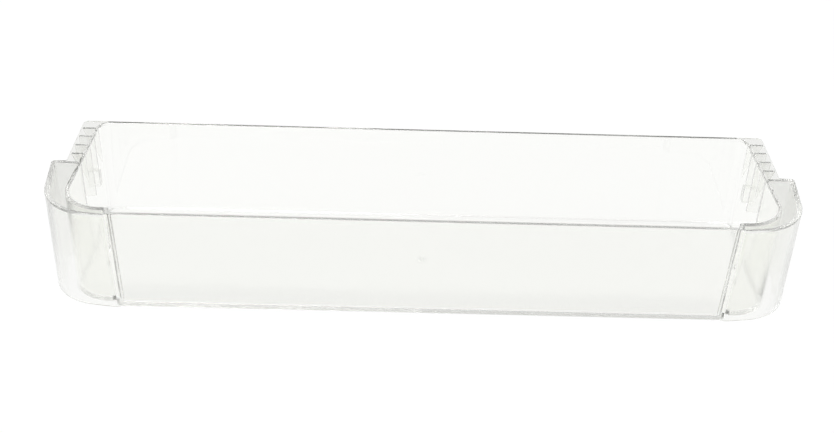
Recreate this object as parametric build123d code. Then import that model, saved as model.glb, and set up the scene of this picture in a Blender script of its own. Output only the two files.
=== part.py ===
from build123d import *
import os
from math import cos, hypot, radians, tan

# A fridge door shelf, injection moulded in one piece of clear plastic.
# X runs along the shelf, +Y points at the door behind it and +Z is up.
# The origin is on the underside, at the middle of the width and of the depth.

# Overall size
shelf_width = 490.0  # across the two ears
shelf_depth = 120.0  # front of the end caps to the back wall
shelf_height = 71.0

# Wall thicknesses
tray_wall = 2.4  # sides and back of the tray
panel_wall = 2.8  # front panel
post_wall = 2.8  # upright at each end of the front panel
floor_wall = 2.6
rim_wall = 2.6  # flat rim on top
skirt_wall = 3.2  # end cap skirt, measured under the rim
ear_wall = 2.4  # back wall of each end cap
rib_wall = 1.9

# Mould draft below the rim, in degrees
tray_draft = 0.8
skirt_front_draft = 1.0
skirt_side_draft = 0.3
panel_draft = 0.4
post_draft = 2.2

# Front panel, a bay that stands forward of the tray's corners
cap_length = 48.0  # side of the shelf to the end of the panel
panel_setback = 1.3  # front of the end caps to the panel's face
bay_depth = 5.4  # inside of the panel to the tray's inner front corners
bay_inner_radius = 3.2  # where the panel meets a post
bay_outer_radius = 2.4
bay_corner_radius = 1.5  # where a post turns into the tray's front wall
front_land = 1.0  # least flat of that wall beside the tray's round corner

# Tray, as the plan of its mouth
front_rim_reach = 17.5  # side of the shelf to the tray's front corner
side_rim_reach = 12.2  # edge of the side rim to the tray's back corner
tray_front_radius = 24.0
tray_back_radius = 6.0
floor_radius = 1.2  # inside, where the floor meets the walls
foot_radius = 0.8  # outside, under the walls

# End caps
ear_depth = 65.5  # front of an end cap to the back of its ear
ear_step = 9.4  # side of the shelf to the edge of the side rim
ear_radius = 2.5
ear_root_radius = 1.5  # inside corner between the ear and the side rim
cap_radius = 35.0  # outer front corner
cap_front_angle = 8.0  # the front falls back towards the corner
cap_side_angle = 5.4  # the side draws in towards the front
return_run = 4.0  # sloping face from the end cap to the panel, along X
return_radius = 1.5

# Rim along the sides behind the ears, and what hangs under it
side_rim_radius = 4.0
slot_width = 10.1  # hook slot, clear along Y
slot_setback = 26.2  # back of the shelf to the middle of the slot
slot_height = 40.5  # top of the shelf to the foot of the slot's walls
lug_depth = 6.2  # lug on the rear wall of the slot, along Y
lug_height = 11.5
front_gusset_setback = 43.8  # back of the shelf to each gusset's middle
rear_gusset_setback = 9.0
gusset_height = 24.0
rib_margin = 1.0  # the ribs stop this far inside the edge of the rim

# Moulding gate, a shallow dish under the middle of the floor
gate_dish_diameter = 13.0
gate_dish_depth = 0.7
gate_stub_diameter = 3.0
gate_stub_height = 0.4

# Rounded edges of the rim
rim_outer_radius = 0.5
rim_inner_radius = 0.5

# Planes and insets that several features share
front_y = -shelf_depth / 2
back_y = shelf_depth / 2
panel_y = front_y + panel_setback
panel_inside_y = panel_y + panel_wall
tray_front_y = panel_inside_y + bay_depth
tray_back_y = back_y - tray_wall
ear_back_y = front_y + ear_depth
panel_end_x = shelf_width / 2 - cap_length
side_rim_x = shelf_width / 2 - ear_step
tray_front_x = shelf_width / 2 - front_rim_reach
tray_back_x = side_rim_x - side_rim_reach
tray_side_slope = (tray_front_x - tray_back_x) / (tray_back_y - tray_front_y)
front_wall = tray_front_x - panel_end_x - post_wall - bay_corner_radius - front_land
corner_radius = min(tray_front_radius, front_wall / (hypot(1, tray_side_slope) + tray_side_slope))
under_rim_z = shelf_height - rim_wall
skirt_front_inset = under_rim_z * tan(radians(skirt_front_draft))
skirt_side_inset = under_rim_z * tan(radians(skirt_side_draft))
panel_inset = under_rim_z * tan(radians(panel_draft))
post_inset = under_rim_z * tan(radians(post_draft))


def section(points, radii, z):
    outline = FilletPolyline(*points, radius=radii, close=True)
    return Pos(0, 0, z) * make_face(outline)


def drafted(top_face, bottom_face):
    return loft([bottom_face, top_face], ruled=True)


def basin_section(tray_reach, panel_reach, post_reach, bay_radius, z):
    # the plan of tray and bay at one height, with each wall that far outside the mouth
    fall = shelf_height - z
    tray_inset = fall * tan(radians(tray_draft)) - tray_reach
    side_inset = tray_inset * hypot(1, tray_side_slope)
    bay_x = panel_end_x - fall * tan(radians(post_draft)) + post_reach
    bay_y = panel_inside_y + fall * tan(radians(panel_draft)) - panel_reach
    front = (tray_front_x - side_inset - tray_inset * tray_side_slope, tray_front_y + tray_inset)
    back = (tray_back_x - side_inset + tray_inset * tray_side_slope, tray_back_y - tray_inset)
    right = [(bay_x, bay_y), (bay_x, front[1]), front, back]
    left = [(-x, y) for x, y in reversed(right)]
    radii = [bay_radius, bay_corner_radius, corner_radius - tray_inset, tray_back_radius - tray_inset]
    return section(right + left, radii + radii[::-1], z)


def basin_block():
    reach = (tray_wall, panel_wall, post_wall, bay_outer_radius)
    block = drafted(basin_section(*reach, under_rim_z), basin_section(*reach, 0))
    return fillet(block.edges().group_by(Axis.Z)[0], foot_radius)


def basin_core():
    reach = (0, 0, 0, bay_inner_radius)
    core = drafted(basin_section(*reach, shelf_height), basin_section(*reach, floor_wall))
    return fillet(core.edges().group_by(Axis.Z)[0], floor_radius)


def ear_reach():
    # how far the ear's sharp corner stands past the width once it is rounded
    angle = radians(cap_side_angle)
    return ear_radius * (tan(angle) + 1 / cos(angle) - 1)


def cap_points(front_inset, side_inset, end_x):
    # nose, front corner and ear of the right end cap, with its faces drawn in by the insets
    front_slope = tan(radians(cap_front_angle))
    side_slope = tan(radians(cap_side_angle))
    nose_x = end_x + return_run
    nose_y = front_y + front_inset / cos(radians(cap_front_angle))
    ear_x = shelf_width / 2 + ear_reach() - side_inset / cos(radians(cap_side_angle))
    corner_y = (nose_y + (ear_x - ear_back_y * side_slope - nose_x) * front_slope) / (
        1 - side_slope * front_slope
    )
    corner_x = ear_x - (ear_back_y - corner_y) * side_slope
    return (nose_x, nose_y), (corner_x, corner_y), (ear_x, ear_back_y)


def rim_plate():
    nose, corner, ear = cap_points(0, 0, panel_end_x)
    root = (side_rim_x, ear_back_y)
    right = [(panel_end_x, panel_y), nose, corner, ear, root, (side_rim_x, back_y)]
    left = [(-x, y) for x, y in reversed(right)]
    radii = [return_radius, return_radius, cap_radius, ear_radius, ear_root_radius, side_rim_radius]
    plate = extrude(section(right + left, radii + radii[::-1], under_rim_z), rim_wall)
    return fillet(plate.edges().group_by(Axis.Z)[-1], rim_outer_radius)


def cap_section(front_inset, side_inset, end_x, face_y, z):
    nose, corner, ear = cap_points(front_inset, side_inset, end_x)
    inner_x = end_x + post_wall / 2
    inner = [(inner_x, ear_back_y), (inner_x, face_y + panel_wall / 2)]
    radii = [0, return_radius, cap_radius, ear_radius, 0, 0]
    return section([(end_x, face_y), nose, corner, ear] + inner, radii, z)


def cap_block():
    foot_x = panel_end_x - post_inset
    top = cap_section(0, 0, panel_end_x, panel_y, under_rim_z)
    bottom = cap_section(skirt_front_inset, skirt_side_inset, foot_x, panel_y + panel_inset, 0)
    return drafted(top, bottom)


def cap_hollow():
    # the space between skirt and tray, open below and closed above by the rim
    nose, corner, ear = cap_points(skirt_wall, skirt_wall, panel_end_x)
    start_x = panel_end_x - post_inset
    start_y = nose[1] - (nose[0] - start_x) * tan(radians(cap_front_angle))
    end_y = ear_back_y - ear_wall
    end_x = ear[0] - ear_wall * tan(radians(cap_side_angle))
    points = [(start_x, start_y), corner, (end_x, end_y), (start_x, end_y)]
    return extrude(section(points, [0, cap_radius - skirt_wall, 0, 0], 0), under_rim_z)


def rib(corners, middle_y, depth):
    plate = extrude(make_face(Plane.XZ * Polyline(*corners, close=True)), depth / 2, both=True)
    return Pos(0, middle_y, 0) * plate


def hook_walls():
    inner_x = tray_back_x
    outer_x = side_rim_x - rib_margin
    foot_z = shelf_height - slot_height
    lug_z = foot_z + lug_height
    wall = [(inner_x, foot_z), (outer_x, foot_z), (outer_x, under_rim_z), (inner_x, under_rim_z)]
    lug = [(inner_x, foot_z), (outer_x, foot_z), (outer_x, lug_z), (inner_x, lug_z)]
    slot_y = back_y - slot_setback
    wall_offset = (slot_width + rib_wall) / 2
    lug_y = slot_y + (slot_width + lug_depth) / 2
    walls = [rib(wall, slot_y + side * wall_offset, rib_wall) for side in (-1, 1)]
    return walls + [rib(lug, lug_y, lug_depth)]


def gussets():
    inner_x = tray_back_x
    root_x = inner_x + tray_wall
    outer_x = side_rim_x - rib_margin
    foot_z = under_rim_z - gusset_height
    triangle = [(inner_x, foot_z), (root_x, foot_z), (outer_x, under_rim_z), (inner_x, under_rim_z)]
    setbacks = (front_gusset_setback, rear_gusset_setback)
    return [rib(triangle, back_y - setback, rib_wall) for setback in setbacks]


def gate_dish():
    # a shallow cap of a sphere, with the stub of the sprue left standing in it
    sphere_radius = (gate_dish_diameter**2 / 4 + gate_dish_depth**2) / (2 * gate_dish_depth)
    dish = Pos(0, 0, gate_dish_depth - sphere_radius) * Sphere(sphere_radius)
    stub = Cylinder(gate_stub_diameter / 2, sphere_radius, align=(Align.CENTER, Align.CENTER, Align.MIN))
    return dish - Pos(0, 0, gate_dish_depth - gate_stub_height) * stub


def door_shelf():
    end = cap_block() - cap_hollow()
    for piece in hook_walls() + gussets():
        end += piece
    body = rim_plate() + basin_block() + end + mirror(end, Plane.YZ)
    body -= basin_core()
    body -= gate_dish()
    top = body.faces().filter_by(Plane.XY).sort_by(Axis.Z)[-1]
    return fillet(top.inner_wires()[0].edges(), rim_inner_radius)


os.makedirs("parts", exist_ok=True)
shelf = door_shelf()
shelf.label = "door_shelf"
export_step(shelf, "parts/door_shelf.step")
print("door_shelf", round(shelf.volume), "mm3", shelf.bounding_box().size)
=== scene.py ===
from math import cos, radians, sin

import bpy
import numpy as np
from mathutils import Matrix, Vector


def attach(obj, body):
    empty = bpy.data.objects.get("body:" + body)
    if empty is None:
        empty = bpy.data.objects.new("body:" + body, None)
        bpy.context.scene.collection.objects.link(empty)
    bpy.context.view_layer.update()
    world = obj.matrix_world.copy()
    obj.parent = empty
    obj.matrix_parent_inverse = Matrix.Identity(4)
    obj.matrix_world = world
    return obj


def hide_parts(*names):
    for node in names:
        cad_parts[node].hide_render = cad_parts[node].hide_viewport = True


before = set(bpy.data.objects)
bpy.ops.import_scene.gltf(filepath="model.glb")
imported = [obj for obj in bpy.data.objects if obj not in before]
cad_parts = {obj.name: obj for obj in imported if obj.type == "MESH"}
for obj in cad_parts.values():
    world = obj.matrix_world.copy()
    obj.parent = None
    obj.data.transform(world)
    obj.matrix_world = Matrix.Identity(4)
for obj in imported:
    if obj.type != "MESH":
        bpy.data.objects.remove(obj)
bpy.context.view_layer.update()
print("frame loaded, nodes:", sorted(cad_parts))


def addNodes(tree, nodeTypes):
    # adds the named nodes to a tree and hands them back by name
    return {name: tree.nodes.new(kind) for name, kind in nodeTypes.items()}


def joinNodes(tree, links):
    # each link is (from node, its output, to node, its input)
    for fromNode, output, toNode, entry in links:
        tree.links.new(fromNode.outputs[output], toNode.inputs[entry])


clearPlastic = {
    "tint": (0.997, 1.0, 0.982, 1),
    "refraction": 1.59,
    "roughness": (0.012, 0.05),  # beside a scuff and in it
    "absorbColor": (0.9, 0.905, 0.88, 1),  # what a metre of it lets through, before the density
    "absorbDensity": 5.0,
    "shadeColor": (0.985, 0.986, 0.98, 1),  # light that gets through to a shadow
    "satinRoughness": 0.3,
    "waveScale": 26.0,
    "waveDetail": 1.5,
    "waveStretch": 0.35,  # the flow runs along the shelf
    "waveShift": 2.4,  # which stretch of the flow pattern the shelf has
    "waveStrength": 0.12,
    "waveHeight": 0.0012,  # m
    "scuffScale": 900.0,
    "scuffDetail": 4.0,
    "scuffRange": (0.45, 0.8),  # noise at which a scuff begins and is full
}


def makeClearPlastic(look):
    material = bpy.data.materials.new("clearPlastic")
    material.use_nodes = True
    tree = material.node_tree
    tree.nodes.clear()
    n = addNodes(tree, {
        "place": "ShaderNodeTexCoord",
        "stretch": "ShaderNodeMapping",
        "waves": "ShaderNodeTexNoise",
        "scuffs": "ShaderNodeTexNoise",
        "gloss": "ShaderNodeMapRange",
        "satinShare": "ShaderNodeAttribute",
        "satin": "ShaderNodeMix",
        "bump": "ShaderNodeBump",
        "plastic": "ShaderNodeBsdfPrincipled",
        "through": "ShaderNodeBsdfTransparent",
        "path": "ShaderNodeLightPath",
        "mix": "ShaderNodeMixShader",
        "inside": "ShaderNodeVolumeAbsorption",
        "out": "ShaderNodeOutputMaterial",
    })
    n["stretch"].inputs["Location"].default_value = (look["waveShift"], 0.0, 0.0)
    n["stretch"].inputs["Scale"].default_value = (look["waveStretch"], 1.0, 1.0)
    n["waves"].inputs["Scale"].default_value = look["waveScale"]
    n["waves"].inputs["Detail"].default_value = look["waveDetail"]
    n["scuffs"].inputs["Scale"].default_value = look["scuffScale"]
    n["scuffs"].inputs["Detail"].default_value = look["scuffDetail"]
    n["gloss"].inputs["From Min"].default_value = look["scuffRange"][0]
    n["gloss"].inputs["From Max"].default_value = look["scuffRange"][1]
    n["gloss"].inputs["To Min"].default_value = look["roughness"][0]
    n["gloss"].inputs["To Max"].default_value = look["roughness"][1]
    n["satinShare"].attribute_name = "satin"
    n["satin"].inputs["B"].default_value = look["satinRoughness"]
    n["bump"].inputs["Strength"].default_value = look["waveStrength"]
    n["bump"].inputs["Distance"].default_value = look["waveHeight"]
    n["plastic"].inputs["Base Color"].default_value = look["tint"]
    n["plastic"].inputs["IOR"].default_value = look["refraction"]
    n["plastic"].inputs["Transmission Weight"].default_value = 1.0
    n["through"].inputs["Color"].default_value = look["shadeColor"]
    n["inside"].inputs["Color"].default_value = look["absorbColor"]
    n["inside"].inputs["Density"].default_value = look["absorbDensity"]
    joinNodes(tree, [
        (n["place"], "Object", n["stretch"], "Vector"),
        (n["stretch"], "Vector", n["waves"], "Vector"),
        (n["place"], "Object", n["scuffs"], "Vector"),
        (n["scuffs"], "Fac", n["gloss"], "Value"),
        (n["satinShare"], "Fac", n["satin"], "Factor"),
        (n["gloss"], "Result", n["satin"], "A"),
        (n["satin"], "Result", n["plastic"], "Roughness"),
        (n["waves"], "Fac", n["bump"], "Height"),
        (n["bump"], "Normal", n["plastic"], "Normal"),
        (n["path"], "Is Shadow Ray", n["mix"], "Fac"),
        (n["plastic"], "BSDF", n["mix"], 1),
        (n["through"], "BSDF", n["mix"], 2),
        (n["mix"], "Shader", n["out"], "Surface"),
        (n["inside"], "Volume", n["out"], "Volume"),
    ])
    return material


shelfMesh = {
    "weld": 1e-5,  # m, corners nearer than this are one
    "smoothAngle": 40.0,  # degrees, sharper edges stay crisp
    "normalWeight": 100,  # large faces lead the shading
    "cornerX": 0.2035,  # m, middle of the tray's round front corner
    "cornerY": -0.0265,
    "channel": 0.029,  # m, from there to the middle of the hollow round it
    "channelHalf": 0.004,  # m, from that middle to inside the tray's wall
    "earBack": 0.0042,  # m, middle of the ear's back wall
    "rimFoot": 0.0686,  # m, just above the rim's underside
    "underside": 0.0003,  # m, just above the floor's underside
    "ribs": (0.002, 0.056),  # m along y, the ears' back walls and all the ribs are between these
    "square": 0.9,  # a face is square to an axis if its normal has this much along it
    "satin": {"hollow": 0.5, "underside": 0.25, "rim": 0.55, "ribs": 0.75},  # shares of the full satin
}


def satinFaces(mesh, look):
    # each face's share of the satin, which the mould leaves on the underside, under the rim, on the ribs
    # and the ears' back walls, and on the faces that look into the hollows of the end caps: a face looks
    # in if its normal points at the channel that runs round the tray's corner
    count = len(mesh.polygons)
    middles = np.empty(count * 3)
    normals = np.empty(count * 3)
    mesh.polygons.foreach_get("center", middles)
    mesh.polygons.foreach_get("normal", normals)
    middles = middles.reshape(-1, 3)
    normals = normals.reshape(-1, 3)
    side = np.sign(middles[:, 0])
    away = np.stack([np.maximum(np.abs(middles[:, 0]) - look["cornerX"], 0),
                     np.minimum(middles[:, 1] - look["cornerY"], 0)], axis=1)
    reach = np.linalg.norm(away, axis=1)
    facing = away[:, 0] * normals[:, 0] * side + away[:, 1] * normals[:, 1]
    looksIn = np.where(reach > look["channel"], facing < 0, facing > 0)
    around = reach > look["channel"] - look["channelHalf"]
    around &= (middles[:, 1] < look["earBack"]) & (middles[:, 2] < look["rimFoot"])
    down = normals[:, 2] < -look["square"]
    below = down & (middles[:, 2] < look["underside"])
    first, last = look["ribs"]
    ribs = (np.abs(normals[:, 1]) > look["square"]) & (middles[:, 1] > first) & (middles[:, 1] < last)
    share = look["satin"]
    satin = np.where(around & looksIn, share["hollow"], 0.0)
    satin = np.where(down & around & ~below, share["rim"], satin)
    satin = np.where(below, share["underside"], satin)
    return np.where(ribs, share["ribs"], satin)


def makeShelf(node, look, material):
    # the moulding's own triangles, with the corners that coincide welded into one closed skin
    source = node.data
    corners = np.empty(len(source.vertices) * 3)
    source.vertices.foreach_get("co", corners)
    corners = corners.reshape(-1, 3)
    triangles = np.empty(len(source.loops), dtype=np.int64)
    source.loops.foreach_get("vertex_index", triangles)
    cells = np.round(corners / look["weld"]).astype(np.int64)
    _, first, welded = np.unique(cells, axis=0, return_index=True, return_inverse=True)
    triangles = welded.reshape(-1)[triangles].reshape(-1, 3)
    sound = (triangles != np.roll(triangles, 1, axis=1)).all(axis=1)
    mesh = bpy.data.meshes.new("clearShelf")
    mesh.from_pydata(corners[first].tolist(), [], triangles[sound].tolist())
    mesh.validate()
    mesh.polygons.foreach_set("use_smooth", np.ones(len(mesh.polygons), dtype=bool))
    mesh.set_sharp_from_angle(angle=radians(look["smoothAngle"]))
    satin = satinFaces(mesh, look).astype(np.float32)
    mesh.attributes.new("satin", "FLOAT", "FACE").data.foreach_set("value", satin)
    mesh.materials.append(material)
    shelf = bpy.data.objects.new("clearShelf", mesh)
    bpy.context.scene.collection.objects.link(shelf)
    evenNormals = shelf.modifiers.new("evenNormals", "WEIGHTED_NORMAL")
    evenNormals.keep_sharp = True
    evenNormals.weight = look["normalWeight"]
    return shelf


plasticMaterial = makeClearPlastic(clearPlastic)
shelf = makeShelf(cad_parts["door_shelf"], shelfMesh, plasticMaterial)
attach(shelf, "root")
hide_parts("door_shelf")
print("shelf made,", len(shelf.data.polygons), "faces")


paleFloor = {
    "half": 0.95,  # m, from the middle to its edge
    "drop": 0.0004,  # m, under the shelf's foot
    "color": (0.9, 0.9, 0.9, 1),
    # painted shade: the white that is seen after many reflections on the way is dimmed, from 14
    # reflections down to a tenth between 17 and 20 and back to white by 24, so the thin walls' upper
    # edges look dark
    "whiteAndPaintedShade": [(0, 1.02), (14, 1.02), (17, 0.1), (20, 0.1), (24, 1.0)],
    "mostMirrors": 40,  # reflections at the end of that scale
    "through": 0.965,  # painted shade: share of that light that is seen through the plastic and in its gloss, a darker floor that stands for the shelf's shadow
    "share": 0.96,  # how much of what is seen is that white, the rest is the floor with its shadow
}


def lightRamp(tree, stops, first, last):
    # the light at each stop, with the stops spread from the first to the last value
    ramp = tree.nodes.new("ShaderNodeValToRGB")
    steps = ramp.color_ramp.elements
    for _ in range(len(stops) - len(steps)):
        steps.new(0.5)
    for step, (place, light) in zip(steps, stops):
        step.position = (place - first) / (last - first)
        step.color = (light, light, light, 1)
    return ramp


def makeFloor(look):
    half = look["half"]
    mesh = bpy.data.meshes.new("paleFloor")
    corners = [(-half, -half, -look["drop"]), (half, -half, -look["drop"]),
               (half, half, -look["drop"]), (-half, half, -look["drop"])]
    mesh.from_pydata(corners, [], [(0, 1, 2, 3)])
    floor = bpy.data.objects.new("paleFloor", mesh)
    bpy.context.scene.collection.objects.link(floor)
    material = bpy.data.materials.new("paleFloor")
    material.use_nodes = True
    tree = material.node_tree
    tree.nodes.clear()
    n = addNodes(tree, {
        "path": "ShaderNodeLightPath",
        "sharp": "ShaderNodeMath",
        "seen": "ShaderNodeMath",
        "share": "ShaderNodeMath",
        "mirrors": "ShaderNodeMapRange",
        "through": "ShaderNodeMapRange",
        "matte": "ShaderNodeBsdfDiffuse",
        "whiteAndPaintedShade": "ShaderNodeEmission",
        "both": "ShaderNodeMixShader",
        "out": "ShaderNodeOutputMaterial",
    })
    n["sharp"].operation = "MAXIMUM"
    n["seen"].operation = "MAXIMUM"
    n["share"].operation = "MULTIPLY"
    n["share"].inputs[1].default_value = look["share"]
    n["matte"].inputs["Color"].default_value = look["color"]
    n["mirrors"].inputs["From Max"].default_value = look["mostMirrors"]
    n["through"].inputs["To Min"].default_value = look["through"]
    # painted shade: the floor's white, dimmed by the count of reflections on the way to it
    whiteAndPaintedShadeRamp = lightRamp(tree, look["whiteAndPaintedShade"], 0, look["mostMirrors"])
    joinNodes(tree, [
        (n["path"], "Is Glossy Ray", n["sharp"], 0),
        (n["path"], "Is Transmission Ray", n["sharp"], 1),
        (n["path"], "Is Camera Ray", n["seen"], 0),
        (n["sharp"], "Value", n["seen"], 1),
        (n["seen"], "Value", n["share"], 0),
        (n["share"], "Value", n["both"], "Fac"),
        (n["path"], "Glossy Depth", n["mirrors"], "Value"),
        (n["mirrors"], "Result", whiteAndPaintedShadeRamp, "Fac"),
        (whiteAndPaintedShadeRamp, "Color", n["whiteAndPaintedShade"], "Color"),
        # painted shade: the white is dimmed for every ray but the camera's, so the floor seen through
        # the plastic and in its gloss is darker
        (n["path"], "Is Camera Ray", n["through"], "Value"),
        (n["through"], "Result", n["whiteAndPaintedShade"], "Strength"),
        (n["matte"], "BSDF", n["both"], 1),
        (n["whiteAndPaintedShade"], "Emission", n["both"], 2),
        (n["both"], "Shader", n["out"], "Surface"),
    ])
    mesh.materials.append(material)


makeFloor(paleFloor)
print("floor made")


studio = {
    # sine of the height, from -1 straight down to 1 straight up, and the light there
    "mirrored": [(-0.3, 0.6), (0.1, 0.6), (0.35, 0.1), (0.75, 0.1), (1.0, 0.6)],
    "through": [(-0.3, 1.0), (0.25, 1.0), (0.4, 0.9), (0.75, 0.9), (1.0, 0.6)],
    "room": 0.5,  # plain light of the room on everything else
    "keyPlace": (-0.9, -1.1, 3.0),  # m
    "keyAim": (0.0, 0.0, 0.03),  # m
    "keySize": (2.0, 1.4),  # m
    "keyPower": 66.0,  # W
}
mixA, mixB, mixResult = 6, 7, 2  # a Mix node's sockets for colours


def makeWorld(look):
    world = bpy.data.worlds.new("studioRoom")
    bpy.context.scene.world = world
    world.use_nodes = True
    tree = world.node_tree
    tree.nodes.clear()
    n = addNodes(tree, {
        "place": "ShaderNodeTexCoord",
        "parts": "ShaderNodeSeparateXYZ",
        "height": "ShaderNodeMapRange",
        "path": "ShaderNodeLightPath",
        "glossy": "ShaderNodeMix",
        "clear": "ShaderNodeMix",
        "seen": "ShaderNodeMix",
        "room": "ShaderNodeBackground",
        "out": "ShaderNodeOutputWorld",
    })
    mirrored = lightRamp(tree, look["mirrored"], -1, 1)
    through = lightRamp(tree, look["through"], -1, 1)
    n["height"].inputs["From Min"].default_value = -1
    for name in ("glossy", "clear", "seen"):
        n[name].data_type = "RGBA"
    n["glossy"].inputs[mixA].default_value = [look["room"]] * 3 + [1]
    n["seen"].inputs[mixB].default_value = (1, 1, 1, 1)
    joinNodes(tree, [
        (n["place"], "Generated", n["parts"], "Vector"),
        (n["parts"], "Z", n["height"], "Value"),
        (n["height"], "Result", mirrored, "Fac"),
        (n["height"], "Result", through, "Fac"),
        (n["path"], "Is Glossy Ray", n["glossy"], 0),
        (mirrored, "Color", n["glossy"], mixB),
        (n["path"], "Is Transmission Ray", n["clear"], 0),
        (n["glossy"], mixResult, n["clear"], mixA),
        (through, "Color", n["clear"], mixB),
        (n["path"], "Is Camera Ray", n["seen"], 0),
        (n["clear"], mixResult, n["seen"], mixA),
        (n["seen"], mixResult, n["room"], "Color"),
        (n["room"], "Background", n["out"], "Surface"),
    ])


def makeKey(look):
    lamp = bpy.data.lights.new("softKey", "AREA")
    lamp.shape = "RECTANGLE"
    lamp.size, lamp.size_y = look["keySize"]
    lamp.energy = look["keyPower"]
    key = bpy.data.objects.new("softKey", lamp)
    bpy.context.scene.collection.objects.link(key)
    key.location = look["keyPlace"]
    aim = Vector(look["keyAim"]) - Vector(look["keyPlace"])
    key.rotation_euler = aim.to_track_quat("-Z", "Y").to_euler()


makeWorld(studio)
makeKey(studio)
print("room and lamp made")


camera = {
    "target": (-0.004316, -0.007, 0.041827),  # m
    "distance": 0.866083,  # m
    "height": 32.641,  # degrees above the floor
    "turn": -1.199,  # degrees round the shelf
    "roll": 2.080,  # degrees
    "focus": 1304.566,  # focal length in pixels of the image
    "imageWidth": 834,
    "nearest": 0.01,  # m, nothing nearer is drawn
}
lightPaths = {
    "bounces": 64,  # light runs far along the walls before it leaves an edge
    "clearBounces": 40,  # surfaces that light may pass on its way to a shadow
}


def makeCamera(look):
    # the eye stands back from the target along a line of that height and turn
    up, around, roll = (radians(look[name]) for name in ("height", "turn", "roll"))
    back = Vector((sin(around) * cos(up), -cos(around) * cos(up), sin(up)))
    right = Vector((cos(around), sin(around), 0))
    top = back.cross(right)
    axes = [right * cos(roll) + top * sin(roll), top * cos(roll) - right * sin(roll), back]
    eye = bpy.data.cameras.new("camera")
    eye.sensor_fit = "HORIZONTAL"
    eye.lens = look["focus"] * eye.sensor_width / look["imageWidth"]
    eye.clip_start = look["nearest"]
    view = bpy.data.objects.new("camera", eye)
    bpy.context.scene.collection.objects.link(view)
    turn = Matrix([axis.to_tuple() for axis in axes]).transposed()
    place = Vector(look["target"]) + back * look["distance"]
    view.matrix_world = Matrix.Translation(place) @ turn.to_4x4()
    bpy.context.scene.camera = view


makeCamera(camera)
bpy.context.scene.view_settings.view_transform = "Standard"
bpy.context.scene.cycles.caustics_refractive = False
bpy.context.scene.cycles.caustics_reflective = False
bpy.context.scene.cycles.max_bounces = lightPaths["bounces"]
bpy.context.scene.cycles.transmission_bounces = lightPaths["bounces"]
bpy.context.scene.cycles.glossy_bounces = lightPaths["bounces"]
bpy.context.scene.cycles.transparent_max_bounces = lightPaths["clearBounces"]
print("camera made")
